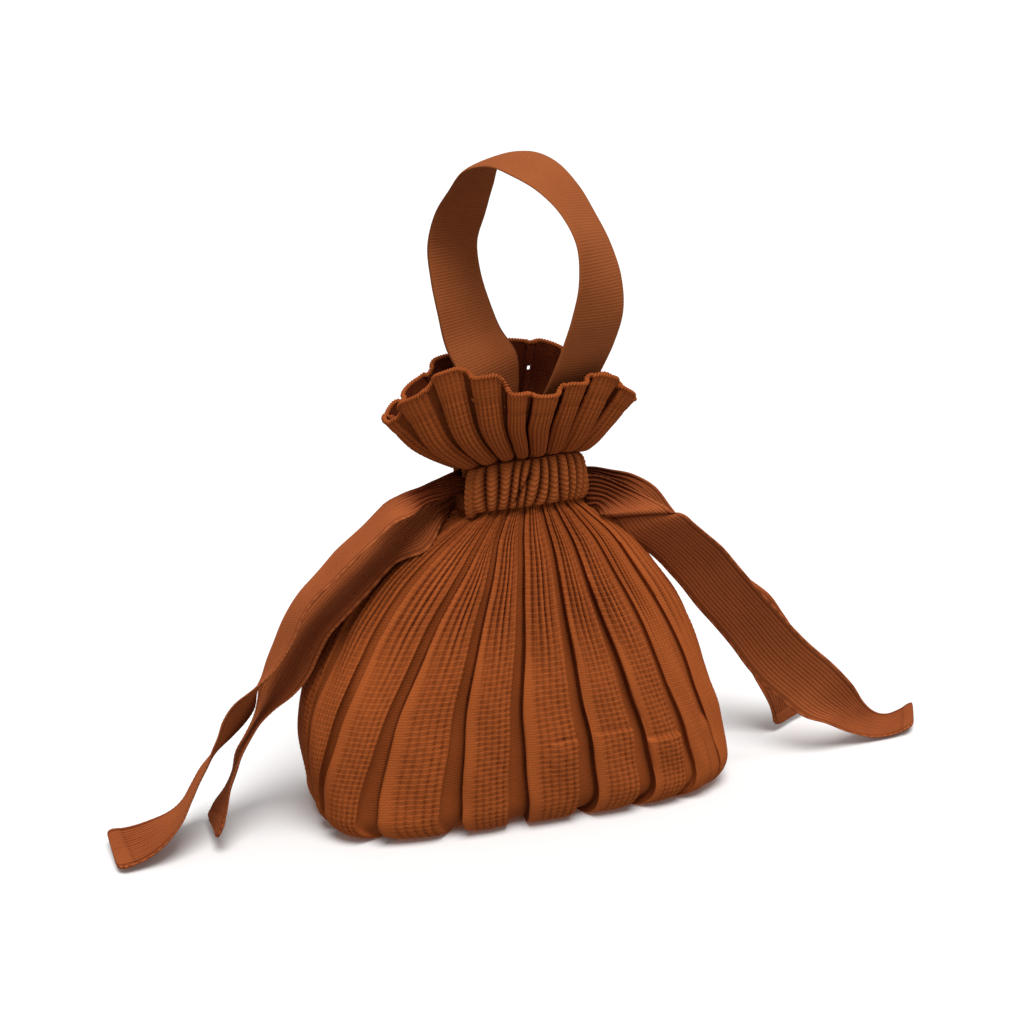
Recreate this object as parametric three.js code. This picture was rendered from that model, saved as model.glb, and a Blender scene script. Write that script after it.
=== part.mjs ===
// A pleated knitted drawstring bag, standing on its base with the drawstrings pulled tight.
// Millimetres, +Z up, the front faces -Y, origin on the floor under the middle of the base.
import * as THREE from 'three';

// Driving dimensions
const WALL = 2;                 // thickness of the knitted wall
const PLEATS = 18;              // valleys around the bag
const PLEAT_PHASE = -0.3;       // valley 0, in pleats right of the front centre
const FOLD_FLOOR = 0.07;        // half the floor of a valley, a share of a pleat
const STRAP_WIDTH = 32;         // knitted carrying strap
const STRAP_THICK = 2;
const RIBBON_WIDTH = 34;        // knitted drawstring ribbon laid flat
const RIBBON_THICK = 1.6;
const CASING_STAND = 5.4;       // outer face of the casing, out from the neck
const CASING_THICK = 1.4;
const GATHERS = 24;             // gathers round both casings
const GATHER_DEPTH = 0.7;
const CASING_ROUND = 0.8;       // how far the casing's edges lie behind its middle
const CASING_EDGES = { low: 0.02, high: 0.96 };   // shares of the neck's height
const NECK_STEPS = 44;          // facets along a casing or a drawstring's run
const RUN_INSIDE = 0.7;         // faces of a bunched drawstring, out from the neck
const RUN_OUTSIDE = 2.6;
const STRAP_STEPS = 48;         // facets along the strap and along a free end
const RIBBON_STEPS = 52;
const FIT_GAP = 0.5;            // clearance between touching pieces

// Level sections from the middle of the base up to the rim. Valleys are fold deep and rise to
// the outline at their edge, a share of a pleat; lift raises them where the pleats turn under.
// Across a section the height changes: tilt raises its right end, droop lowers both ends, and
// lean raises its front.
const SECTIONS = [
  { z: 0, wide: 72, deep: 20, square: 3.2, x: 0, fold: 0, edge: 0.22 },
  { z: 0, wide: 93, deep: 34, square: 4.0, x: 0, fold: 3, edge: 0.22, lift: 2 },
  { z: 4, wide: 104, deep: 43, square: 4.0, x: 0, fold: 5, edge: 0.21, lift: 3 },
  { z: 16, wide: 111, deep: 48, square: 3.5, x: 0, fold: 6, edge: 0.20 },
  { z: 40, wide: 111, deep: 49, square: 3.0, x: -4, fold: 6, edge: 0.20 },
  { z: 70, wide: 105, deep: 48, square: 2.8, x: -7, fold: 6, edge: 0.20 },
  { z: 100, wide: 91, deep: 44, square: 2.6, x: -5, fold: 6.5, edge: 0.22 },
  { z: 125, wide: 74, deep: 39, square: 2.4, x: -4, fold: 6.5, edge: 0.25 },
  { z: 145, wide: 56, deep: 32, square: 2.2, x: -2, fold: 6, edge: 0.32, tilt: 1, droop: 2 },
  { z: 157, wide: 40, deep: 26, square: 2.0, x: -1, fold: 5, edge: 0.38, tilt: 1.5, droop: 4 },
  { z: 164, wide: 31, deep: 21, square: 2.0, x: 0, fold: 3.5, edge: 0.42, tilt: 1.5, droop: 5.5 },
  { z: 188, wide: 29, deep: 20, square: 2.0, x: 0, fold: 3.5, edge: 0.42, tilt: 2, droop: 6.5 },
  { z: 190.5, wide: 40, deep: 28, square: 2.0, x: 0, fold: 5, edge: 0.40, tilt: 2, droop: 8 },
  { z: 197, wide: 48, deep: 34, square: 2.0, x: -2, fold: 6, edge: 0.36, tilt: 1.5, droop: 11 },
  { z: 210, wide: 57, deep: 40, square: 2.1, x: -5, fold: 6.5, edge: 0.30, tilt: 1, droop: 16, lean: -1 },
  { z: 222, wide: 61.5, deep: 44, square: 2.1, x: -5, fold: 6, edge: 0.28, tilt: 0.5, droop: 21, lean: -2 },
  { z: 228, wide: 63, deep: 46, square: 2.1, x: -5, fold: 5, edge: 0.28, droop: 24, lean: -2 },
].map((row) => ({ lift: 0, tilt: 0, droop: 0, lean: 0, ...row }));
const NECK_BOTTOM = SECTIONS[10];
const NECK_TOP = SECTIONS[11];

// The pleats are uneven. Each row moves one valley sideways, in pleats, at the heights of
// SHIFT_LEVELS; rim raises the ruffle's edge on the panel to the valley's right.
const SHIFT_LEVELS = { foot: 20, low: 50, middle: 80, shoulder: 110, upper: 135, neck: 155, mouth: 200 };
const PLEAT_COLUMNS = ['valley', 'foot', 'low', 'middle', 'shoulder', 'upper', 'neck', 'mouth', 'rim'];
const PLEAT_ROWS = [
  [-9, 0, 0, 0, 0, 0, 0, 0, -1],
  [-8, 0, 0, 0, 0, 0, 0, 0, -4],
  [-7, 0, 0, 0, 0, 0, 0, 0, -9],
  [-6, 0, 0, 0, 0, 0, 0, 0.1, -7],
  [-5, 0, 0.15, 0.2, 0.1, 0.05, 0.1, 0.2, 2],
  [-4, 0.05, 0.32, 0.38, 0.12, 0.06, 0.15, 0.4, 11],
  [-3, -0.6, -0.17, 0, -0.02, 0.1, 0.25, 0.55, 17],
  [-2, -0.7, -0.32, -0.07, 0.08, 0.37, 0.45, 0.5, 10],
  [-1, -0.3, -0.04, 0.03, 0.06, 0.15, -0.1, 0.45, 0],
  [0, -0.19, -0.06, -0.02, -0.03, -0.06, -0.2, 0.1, -2],
  [1, 0.02, 0.12, 0.02, -0.08, -0.08, -0.16, -0.04, 3],
  [2, 0.07, 0.08, -0.07, -0.33, -0.38, -0.42, -0.24, 8],
  [3, -0.08, -0.11, -0.32, -0.43, -0.55, -0.58, -0.1, 5],
  [4, -0.6, -0.67, -0.73, -0.85, -0.88, -0.8, 0, 4.5],
  [5, -0.4, -0.45, -0.5, -0.55, -0.55, -0.5, 0, 6],
  [6, -0.2, -0.2, -0.2, -0.2, -0.2, -0.2, 0, 4],
  [7, 0, 0, 0, 0, 0, 0, 0, 3],
  [8, 0, 0, 0, 0, 0, 0, 0, 1],
].map((row) => Object.fromEntries(row.map((value, i) => [PLEAT_COLUMNS[i], value])));
const RUFFLE_LEVEL = 197;       // rim starts to act here and is whole at the rim

// Shares of the way round the neck at which the casings and the drawstrings end, and the
// halves of the casing's height that the drawstrings take
const LEFT_SIDE = -0.25;
const RIGHT_SIDE = 0.25;
const CASING_INSET = 0.055;
const RUN_INSET = 0.06;
const UPPER_HALF = { low: 0.52, high: 0.87 };
const LOWER_HALF = { low: 0.1, high: 0.46 };

// The strap's loop stands in a plane turned from the front towards the right. reach goes
// forward along that plane; turn sets the strap's width round the vertical, bank raises its
// right edge.
const STRAP_PLANE_TURN = 33;
const STRAP_ROUTE = [
  { reach: -22.7, z: 193, turn: 10, bank: 0.1 },
  { reach: -20, z: 203, turn: 7, bank: 0.2 },
  { reach: -19, z: 213, turn: 5, bank: 0.3 },
  { reach: -20, z: 225, turn: 6, bank: 0.35 },
  { reach: -30, z: 238, turn: 13, bank: 0.2 },
  { reach: -36, z: 252, turn: 20, bank: 0.09 },
  { reach: -41, z: 267, turn: 24, bank: 0.04 },
  { reach: -43, z: 283, turn: 24, bank: -0.02 },
  { reach: -38, z: 298, turn: 23, bank: -0.07 },
  { reach: -31, z: 311, turn: 31, bank: -0.02 },
  { reach: -23, z: 323, turn: 37, bank: 0.11 },
  { reach: -7, z: 327, turn: 33, bank: 0.13 },
  { reach: 8, z: 324, turn: 30, bank: 0.12 },
  { reach: 23, z: 316, turn: 34, bank: -0.02 },
  { reach: 35, z: 305, turn: 40, bank: -0.11 },
  { reach: 44, z: 292, turn: 41, bank: -0.07 },
  { reach: 48, z: 276, turn: 32, bank: 0 },
  { reach: 47, z: 260, turn: 22, bank: -0.04 },
  { reach: 42, z: 245, turn: 21, bank: -0.08 },
  { reach: 35, z: 230, turn: 23, bank: -0.08 },
  { reach: 27, z: 215, turn: 23, bank: -0.05 },
  { reach: 21.5, z: 203, turn: 21, bank: 0 },
  { reach: 19.6, z: 194, turn: 18, bank: 0 },
];

// Free ends of the drawstrings. Each row holds x, y, z of the ribbon's middle, then x, y, z of
// the direction across it, then its width where it is still gathered by the casing.
const LEFT_FRONT_ROUTE = [
  [-28.7, -8.8, 173.2, 0, 0, 1, 7], [-30.2, -6.6, 173, 0, 0, 1, 7], [-34, -5.6, 172.5, 0, 0.1, 1, 9],
  [-41, -7, 172, 0, 0.5, 0.85, 10], [-51, -9, 170.5, 0, 0.9, 0.4, 14],
  [-60, -11, 168.5, -0.05, 0.97, 0.2, 24], [-70, -12, 165, 0, 1, 0], [-81, -13, 156, -0.03, 1, -0.07],
  [-93, -13, 146, -0.07, 1, -0.09], [-102, -13, 137, -0.1, 0.98, -0.15],
  [-112, -12, 127, -0.14, 0.96, -0.24], [-119, -11, 116, -0.18, 0.93, -0.31],
  [-124, -10, 104, -0.2, 0.92, -0.34], [-128, -9, 95, -0.17, 0.9, -0.39],
  [-132, -8, 86, -0.05, 0.91, -0.42], [-137, -6, 78, 0.15, 0.9, -0.42], [-142, -4, 69, 0.4, 0.8, -0.45],
  [-147, -3, 61, 0.43, 0.79, -0.43], [-152, -2, 53, 0.31, 0.85, -0.42],
  [-158, -2, 46, 0.14, 0.89, -0.44], [-163, -2, 38.5, 0, 0.89, -0.46],
  [-168, -3, 30.5, -0.02, 0.89, -0.46], [-173, -5, 22.5, -0.04, 0.9, -0.42],
  [-179, -7, 15.5, -0.08, 0.96, -0.28], [-188, -9, 10, -0.12, 0.98, -0.1],
  [-199, -10, 6, -0.15, 0.98, 0.04], [-211, -11, 5, -0.08, 0.98, 0.15],
];
const LEFT_BACK_ROUTE = [
  [-28.7, 8.8, 173.2, 0, 0, 1, 7], [-30.2, 6.6, 173, 0, 0, 1, 7], [-34, 5.8, 171.8, 0, 0.05, 1, 8],
  [-39, 6, 168, -0.1, 0.4, 0.9, 10], [-46, 6, 162, -0.2, 0.8, 0.5, 15],
  [-57, 5, 150.5, -0.08, 0.95, 0.3, 24], [-70, 4, 138, 0, 1, -0.05], [-83, 2, 126, -0.07, 0.99, -0.12],
  [-95, 1, 114.5, -0.1, 0.98, -0.17], [-105, 1, 104, -0.12, 0.97, -0.21],
  [-112, 2, 93, -0.24, 0.93, -0.27], [-118, 3, 81.5, -0.32, 0.91, -0.28],
  [-124, 4, 71.5, -0.25, 0.92, -0.3], [-130, 5, 63, -0.05, 0.93, -0.35],
  [-135, 5, 56, 0.06, 0.93, -0.36], [-140, 5, 48, 0.05, 0.92, -0.38], [-145, 4, 40, 0.04, 0.92, -0.38],
  [-148, 2, 32, 0.06, 0.89, -0.45], [-152, 0, 24, 0.04, 0.9, -0.42], [-156, -3, 17, -0.07, 0.93, -0.35],
  [-159, -6, 11.5, -0.1, 0.95, -0.3], [-161, -8, 7, 0, 0.98, -0.15],
];
const RIGHT_FRONT_ROUTE = [
  [29.4, -9.1, 168.2, 0, 0, 1, 8], [31, -6.8, 168, 0, 0, 1, 8], [34, -6.2, 167, 0.1, 0.1, 1, 10],
  [38, -7.5, 165, 0.45, 0.25, 0.85, 13], [44, -10, 161, 0.85, 0.15, 0.5, 18],
  [52, -14, 156, 0.97, 0, 0.2, 26], [60, -18.5, 152, 0.95, -0.25, 0.05, 29],
  [67, -19, 147, 0.78, -0.42, 0.4, 28], [74, -18, 140.5, 0.52, -0.58, 0.6, 30],
  [82, -16, 131.5, 0.46, -0.57, 0.68, 33], [93, -15, 120, 0.47, -0.5, 0.73],
  [103, -14, 107.5, 0.48, -0.44, 0.76], [115, -13, 93.5, 0.48, -0.44, 0.76],
  [126, -12, 80.5, 0.52, -0.4, 0.75], [136, -11, 68, 0.6, -0.3, 0.73], [147, -10, 56, 0.68, -0.22, 0.7],
  [160, -9, 44, 0.76, -0.1, 0.6], [173, -8, 31.5, 0.86, 0.1, 0.42], [186, -5, 20.5, 0.88, 0.42, 0.1],
  [200, 0, 10, 0.8, 0.6, 0], [214, 4, 3.5, 0.68, 0.73, 0], [227, 7, 2.2, 0.55, 0.83, 0],
  [239, 9, 5, 0.49, 0.87, 0],
];
const RIGHT_BACK_ROUTE = [
  [29.4, 9.1, 168.2, 0, 0, 1, 8], [31, 6.8, 168, 0, 0, 1, 8], [34.5, 6.5, 167.5, 0.1, 0.05, 1, 9],
  [40, 7.5, 166.5, 0.35, 0.2, 0.9, 10], [48, 10, 162, 0.6, 0.28, 0.74, 15],
  [59, 13, 155.5, 0.68, 0.35, 0.64, 22], [70, 15, 146, 0.73, 0.45, 0.5, 29],
  [80, 17, 134.5, 0.75, 0.6, 0.25], [91, 18, 122.5, 0.79, 0.58, 0.18], [104, 19, 108, 0.84, 0.5, 0.22],
  [117, 20, 94.5, 0.87, 0.42, 0.27], [129, 21, 82.5, 0.85, 0.25, 0.45], [139, 22, 72, 0.77, 0.05, 0.62],
  [147, 23, 61, 0.74, 0.02, 0.67], [155, 24, 49.5, 0.75, 0.1, 0.65], [161, 25, 35.5, 0.84, 0.38, 0.38],
  [167, 27, 20, 0.86, 0.5, 0.1], [172, 29, 4, 0.86, 0.5, 0],
];

// Colours of the knit in warm rust brown
const knit = (color) => new THREE.MeshStandardMaterial({ color, roughness: 0.92, metalness: 0 });
const BODY_COLOUR = 0x95491f;
const CASING_COLOUR = 0x7c3816;
const STRAP_COLOUR = 0x854320;
const RIBBON_COLOUR = 0xa35a33;

const lerp = THREE.MathUtils.lerp;
const smooth = THREE.MathUtils.smoothstep;

// A closed superellipse walked from the front centre towards the right; the points come back
// at equal steps of its length when shares does.
function outline(wide, deep, square, shares) {
  const fine = 720;
  const points = [];
  for (let i = 0; i <= fine; i += 1) {
    const angle = (2 * Math.PI * i) / fine;
    const s = Math.sin(angle);
    const c = -Math.cos(angle);
    points.push([
      wide * Math.sign(s) * Math.abs(s) ** (2 / square),
      deep * Math.sign(c) * Math.abs(c) ** (2 / square),
    ]);
  }
  const length = [0];
  for (let i = 1; i <= fine; i += 1) {
    const step = Math.hypot(points[i][0] - points[i - 1][0], points[i][1] - points[i - 1][1]);
    length.push(length[i - 1] + step);
  }
  return shares.map((share) => {
    const target = (share - Math.floor(share)) * length[fine];
    let i = 1;
    while (length[i] < target) i += 1;
    const part = (target - length[i - 1]) / (length[i] - length[i - 1]);
    return [lerp(points[i - 1][0], points[i][0], part), lerp(points[i - 1][1], points[i][1], part)];
  });
}

// A point of a section: its place on the outline moved in or out, and its height.
function place(section, flat, out) {
  const [x, y] = flat;
  const across = new THREE.Vector2(x / section.wide ** 2, y / section.deep ** 2).normalize();
  const side = x / section.wide;
  const sag = section.droop * Math.abs(side) ** 3 + (section.lean * y) / section.deep;
  const height = section.z + section.tilt * side - sag;
  return new THREE.Vector3(section.x + x + across.x * out, y + across.y * out, height);
}

// How far the valley of one row has moved sideways at height z, in pleats.
function valleyShift(row, z) {
  const levels = Object.entries(SHIFT_LEVELS);
  const above = levels.findIndex(([, level]) => z < level);
  if (above === 0) return row.foot;
  if (above < 0) return row.mouth;
  const [lower, low] = levels[above - 1];
  const [upper, high] = levels[above];
  return lerp(row[lower], row[upper], (z - low) / (high - low));
}

// The folded ring of one section: six corners a pleat, from the valley over the panel. Each
// panel lifts its own part of the rim; a valley takes the mean of the panels beside it.
function pleatedRing(section) {
  const lifted = smooth(section.z, RUFFLE_LEVEL, SECTIONS.at(-1).z);
  const shares = [];
  const cuts = [];
  const rises = [];
  PLEAT_ROWS.forEach((row, i) => {
    const before = PLEAT_ROWS.at(i - 1);
    const next = PLEAT_ROWS[(i + 1) % PLEATS];
    const start = row.valley + valleyShift(row, section.z);
    const end = row.valley + 1 + valleyShift(next, section.z);
    const leftRim = (before.rim + row.rim) / 2;
    const rightRim = (row.rim + next.rim) / 2;
    const corners = [
      { at: 0, cut: 1, rim: leftRim },
      { at: FOLD_FLOOR, cut: 1, rim: leftRim },
      { at: section.edge, cut: 0, rim: row.rim },
      { at: 0.5, cut: 0, rim: row.rim },
      { at: 1 - section.edge, cut: 0, rim: row.rim },
      { at: 1 - FOLD_FLOOR, cut: 1, rim: rightRim },
    ];
    for (const corner of corners) {
      shares.push((PLEAT_PHASE + lerp(start, end, corner.at)) / PLEATS);
      cuts.push(corner.cut);
      rises.push(corner.rim * lifted);
    }
  });
  return outline(section.wide, section.deep, section.square, shares).map((flat, i) => {
    const point = place(section, flat, -section.fold * cuts[i]);
    point.z += section.lift * cuts[i] + rises[i];
    return point;
  });
}

// The inside face of a section: moved in by the wall's thickness, square to the profile.
function insideSection(i) {
  const below = SECTIONS[Math.max(i - 1, 0)];
  const above = SECTIONS[Math.min(i + 1, SECTIONS.length - 1)];
  const normal = new THREE.Vector2(above.z - below.z, below.deep - above.deep).normalize();
  const section = SECTIONS[i];
  return {
    ...section,
    z: section.z - WALL * normal.y,
    wide: section.wide - WALL * normal.x,
    deep: section.deep - WALL * normal.x,
  };
}

// A closed mesh from vertices and quads, each quad two triangles.
function solid(points, quads, triangles = []) {
  const index = triangles.flat();
  for (const [a, b, c, d] of quads) index.push(a, b, c, a, c, d);
  const geometry = new THREE.BufferGeometry();
  const numbers = points.flatMap((point) => point.toArray());
  geometry.setAttribute('position', new THREE.Float32BufferAttribute(numbers, 3));
  geometry.setIndex(index);
  geometry.computeVertexNormals();
  return geometry;
}

// Base, pleated wall, gathered neck and ruffle, knitted in one: up the outside, over the
// rim and down the inside.
function bagBody() {
  const rings = SECTIONS.map(pleatedRing);
  for (let i = SECTIONS.length - 1; i >= 0; i -= 1) rings.push(pleatedRing(insideSection(i)));
  const around = rings[0].length;
  const points = rings.flat();
  const quads = [];
  for (let r = 0; r + 1 < rings.length; r += 1) {
    for (let i = 0; i < around; i += 1) {
      const j = (i + 1) % around;
      quads.push([r * around + i, r * around + j, (r + 1) * around + j, (r + 1) * around + i]);
    }
  }
  const underside = points.length;
  points.push(new THREE.Vector3(SECTIONS[0].x, 0, SECTIONS[0].z));
  const inside = points.length;
  points.push(new THREE.Vector3(SECTIONS[0].x, 0, insideSection(0).z));
  const last = (rings.length - 1) * around;
  const triangles = [];
  for (let i = 0; i < around; i += 1) {
    const j = (i + 1) % around;
    triangles.push([underside, j, i], [inside, last + i, last + j]);
  }
  return solid(points, quads, triangles);
}

// A band swept through stations; each station lists its outer points and, behind them, its
// inner points. Both ends are closed.
function bandSolid(stations) {
  const count = stations[0].outer.length;
  const ring = 2 * count;
  const points = stations.flatMap(({ outer, inner }) => [...outer, ...[...inner].reverse()]);
  const quads = [];
  for (let s = 0; s + 1 < stations.length; s += 1) {
    for (let i = 0; i < ring; i += 1) {
      const j = (i + 1) % ring;
      quads.push([s * ring + j, s * ring + i, (s + 1) * ring + i, (s + 1) * ring + j]);
    }
  }
  const end = (stations.length - 1) * ring;
  for (let i = 0; i + 1 < count; i += 1) {
    const back = ring - 1 - i;
    quads.push([i, i + 1, back - 1, back]);
    quads.push([end + i, end + back, end + back - 1, end + i + 1]);
  }
  return solid(points, quads);
}

// A point round the neck: a share of the way round, rise from the casing's bottom edge to
// its top, and out from the neck's panels.
function neckPoint(share, rise, out) {
  const section = {};
  for (const name of Object.keys(NECK_BOTTOM)) {
    section[name] = lerp(NECK_BOTTOM[name], NECK_TOP[name], rise);
  }
  const [flat] = outline(section.wide, section.deep, section.square, [share]);
  return place(section, flat, out);
}

// A gathered casing: a channel in section, its lips turned in to the neck, open at both ends.
function casing(start, end) {
  const tunnel = CASING_STAND - CASING_THICK;
  const lip = CASING_THICK / (NECK_TOP.z - NECK_BOTTOM.z);
  const { low, high } = CASING_EDGES;
  const stations = [];
  for (let s = 0; s <= NECK_STEPS; s += 1) {
    const share = lerp(start, end, s / NECK_STEPS);
    const wave = GATHER_DEPTH * Math.cos(2 * Math.PI * GATHERS * share);
    stations.push({
      outer: [
        neckPoint(share, low, FIT_GAP),
        neckPoint(share, low, CASING_STAND - CASING_ROUND + wave / 2),
        neckPoint(share, (low + high) / 2, CASING_STAND + wave),
        neckPoint(share, high, CASING_STAND - CASING_ROUND + wave / 2),
        neckPoint(share, high, FIT_GAP),
      ],
      inner: [
        neckPoint(share, low + lip, FIT_GAP),
        neckPoint(share, low + lip, tunnel - CASING_ROUND + wave / 2),
        neckPoint(share, (low + high) / 2, tunnel + wave),
        neckPoint(share, high - lip, tunnel - CASING_ROUND + wave / 2),
        neckPoint(share, high - lip, FIT_GAP),
      ],
    });
  }
  return bandSolid(stations);
}

// A drawstring bunched up inside both casings, round the neck from one side back to it, in a
// half of the casing's height.
function neckRun(side, { low, high }) {
  const start = side + RUN_INSET;
  const end = 1 + side - RUN_INSET;
  const stations = [];
  for (let s = 0; s <= NECK_STEPS; s += 1) {
    const share = lerp(start, end, s / NECK_STEPS);
    stations.push({
      outer: [neckPoint(share, low, RUN_OUTSIDE), neckPoint(share, high, RUN_OUTSIDE)],
      inner: [neckPoint(share, low, RUN_INSIDE), neckPoint(share, high, RUN_INSIDE)],
    });
  }
  return bandSolid(stations);
}

// A flat band along a smooth route of middle points and directions across it.
function flatBand(middles, acrosses, widths, thick, steps) {
  const route = new THREE.CatmullRomCurve3(middles, false, 'catmullrom', 0.5);
  const turning = new THREE.CatmullRomCurve3(acrosses, false, 'catmullrom', 0.5);
  const stations = [];
  for (let s = 0; s <= steps; s += 1) {
    const t = s / steps;
    const middle = route.getPoint(t);
    const along = route.getTangent(t);
    const across = turning.getPoint(t).normalize();
    const face = new THREE.Vector3().crossVectors(across, along).setLength(thick / 2);
    const i = Math.min(Math.floor(t * (widths.length - 1)), widths.length - 2);
    const half = lerp(widths[i], widths[i + 1], t * (widths.length - 1) - i) / 2;
    const left = middle.clone().addScaledVector(across, -half);
    const right = middle.clone().addScaledVector(across, half);
    stations.push({
      outer: [left.clone().sub(face), right.clone().sub(face)],
      inner: [left.clone().add(face), right.clone().add(face)],
    });
  }
  return bandSolid(stations);
}

function strap() {
  const plane = THREE.MathUtils.degToRad(STRAP_PLANE_TURN);
  const forward = new THREE.Vector2(Math.sin(plane), -Math.cos(plane));
  const middles = STRAP_ROUTE.map(
    ({ reach, z }) => new THREE.Vector3(forward.x * reach, forward.y * reach, z),
  );
  const acrosses = STRAP_ROUTE.map(({ turn, bank }) => {
    const angle = THREE.MathUtils.degToRad(turn);
    return new THREE.Vector3(Math.cos(angle), Math.sin(angle), bank);
  });
  const widths = STRAP_ROUTE.map(() => STRAP_WIDTH);
  return flatBand(middles, acrosses, widths, STRAP_THICK, STRAP_STEPS);
}

function ribbonEnd(route) {
  const middles = route.map(([x, y, z]) => new THREE.Vector3(x, y, z));
  const acrosses = route.map((row) => new THREE.Vector3(row[3], row[4], row[5]));
  const widths = route.map((row) => row[6] ?? RIBBON_WIDTH);
  return flatBand(middles, acrosses, widths, RIBBON_THICK, RIBBON_STEPS);
}

const bag = new THREE.Group();

function add(name, geometry, colour) {
  const mesh = new THREE.Mesh(geometry, knit(colour));
  mesh.name = name;
  bag.add(mesh);
}

add('bag_body', bagBody(), BODY_COLOUR);
add('front_casing', casing(LEFT_SIDE + CASING_INSET, RIGHT_SIDE - CASING_INSET), CASING_COLOUR);
add('back_casing', casing(RIGHT_SIDE + CASING_INSET, 1 + LEFT_SIDE - CASING_INSET), CASING_COLOUR);
add('handle_strap', strap(), STRAP_COLOUR);
add('left_drawstring', neckRun(LEFT_SIDE, UPPER_HALF), RIBBON_COLOUR);
add('right_drawstring', neckRun(RIGHT_SIDE, LOWER_HALF), RIBBON_COLOUR);
add('left_front_end', ribbonEnd(LEFT_FRONT_ROUTE), RIBBON_COLOUR);
add('left_back_end', ribbonEnd(LEFT_BACK_ROUTE), RIBBON_COLOUR);
add('right_front_end', ribbonEnd(RIGHT_FRONT_ROUTE), RIBBON_COLOUR);
add('right_back_end', ribbonEnd(RIGHT_BACK_ROUTE), RIBBON_COLOUR);

export default bag;
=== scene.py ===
# A pleated knitted drawstring bag in rust brown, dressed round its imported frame.
# Metres, +Z up, the front faces -Y. Tables that repeat the part's own are in millimetres.
import math

import bpy
import numpy as np
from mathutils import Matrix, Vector


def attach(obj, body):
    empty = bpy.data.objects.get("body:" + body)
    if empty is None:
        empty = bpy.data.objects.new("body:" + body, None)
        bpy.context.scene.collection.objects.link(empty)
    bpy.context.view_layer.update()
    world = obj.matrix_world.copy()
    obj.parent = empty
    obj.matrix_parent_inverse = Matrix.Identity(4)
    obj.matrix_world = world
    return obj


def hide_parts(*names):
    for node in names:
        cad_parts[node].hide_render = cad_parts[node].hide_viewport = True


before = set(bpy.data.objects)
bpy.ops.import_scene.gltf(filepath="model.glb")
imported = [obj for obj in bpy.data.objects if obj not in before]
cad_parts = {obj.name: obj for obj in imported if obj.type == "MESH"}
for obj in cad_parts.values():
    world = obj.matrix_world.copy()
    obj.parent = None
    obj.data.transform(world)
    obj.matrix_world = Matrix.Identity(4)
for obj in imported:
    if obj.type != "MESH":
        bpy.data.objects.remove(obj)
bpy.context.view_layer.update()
MM = 0.001

# Camera
# A camera a little above the bag and to its left, close enough that the far side draws in.
CAMERA_AZIMUTH = math.radians(-17.5)
CAMERA_ELEVATION = math.radians(18.5)
CAMERA_DISTANCE = 0.85
CAMERA_TARGET = Vector((-0.004, 0.0, 0.154))
CAMERA_LENS = 60
CAMERA_SENSOR = 36
CAMERA_NEAR = 0.05

camera_data = bpy.data.cameras.new("camera")
camera_data.lens = CAMERA_LENS
camera_data.sensor_width = CAMERA_SENSOR
camera_data.clip_start = CAMERA_NEAR
camera = bpy.data.objects.new("camera", camera_data)
bpy.context.collection.objects.link(camera)
towards_camera = Vector((
    math.sin(CAMERA_AZIMUTH) * math.cos(CAMERA_ELEVATION),
    -math.cos(CAMERA_AZIMUTH) * math.cos(CAMERA_ELEVATION),
    math.sin(CAMERA_ELEVATION),
))
camera.location = CAMERA_TARGET + CAMERA_DISTANCE * towards_camera
camera.rotation_euler = towards_camera.to_track_quat("Z", "Y").to_euler()
bpy.context.scene.camera = camera

# Drawstring ribbons
# Two flat tubes of fine rib knit with whip-stitched edges, threaded through the neck's casings.
# Each leaves its side of the neck gathered, spreads to its full width and ends in a hem.
RIBBON_WIDTH = 34.0
RIBBON_THICK = 1.6
RIBBON_RIBS = 17
RIB_DEPTH = 0.3
EDGE_STITCH = 2.2
HEM_LENGTH = 8.0
HEM_THICK = 2.6
HEM_CORNER = 4.5
HEM_POCKET = 5.0
RIBBON_STATIONS = 210
HEM_STATIONS = 20
EDGE_SHARE = 0.9
GATHER_FOLDS = 7
GATHER_HEIGHT = 0.8
CREASE_STEP = 1.5
CREASE_REACH = 3.2

# lengths along a ribbon over which it spreads, its edges begin to curl and they flatten out again
SPREADING = (14, 38)
CURL_RISE = (10, 40)
CURL_FALL = (175, 125)

# x, y, z of the middle, x, y, z of the direction across, and the width where it is gathered
LEFT_FRONT_ROUTE = [
    (-28.7, -8.8, 173.2, 0, 0, 1, 7), (-30.2, -6.6, 173, 0, 0, 1, 7), (-34, -5.6, 172.5, 0, 0.1, 1, 9),
    (-41, -7, 172, 0, 0.5, 0.85, 10), (-51, -9, 170.5, 0, 0.9, 0.4, 14),
    (-60, -11, 168.5, -0.05, 0.97, 0.2, 24), (-70, -12, 165, 0, 1, 0), (-81, -13, 156, -0.03, 1, -0.07),
    (-93, -13, 146, -0.07, 1, -0.09), (-102, -13, 137, -0.1, 0.98, -0.15),
    (-112, -12, 127, -0.14, 0.96, -0.24), (-119, -11, 116, -0.18, 0.93, -0.31),
    (-124, -10, 104, -0.2, 0.92, -0.34), (-128, -9, 95, -0.17, 0.9, -0.39),
    (-132, -8, 86, -0.05, 0.91, -0.42), (-137, -6, 78, 0.15, 0.9, -0.42), (-142, -4, 69, 0.4, 0.8, -0.45),
    (-147, -3, 61, 0.43, 0.79, -0.43), (-152, -2, 53, 0.31, 0.85, -0.42), (-158, -2, 46, 0.14, 0.89, -0.44),
    (-163, -2, 38.5, 0, 0.89, -0.46), (-168, -3, 30.5, -0.02, 0.89, -0.46),
    (-173, -5, 22.5, -0.04, 0.9, -0.42), (-179, -7, 15.5, -0.08, 0.96, -0.28),
    (-188, -9, 10, -0.12, 0.98, -0.1), (-199, -10, 6, -0.15, 0.98, 0.04), (-211, -11, 5, -0.08, 0.98, 0.15),
]
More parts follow.
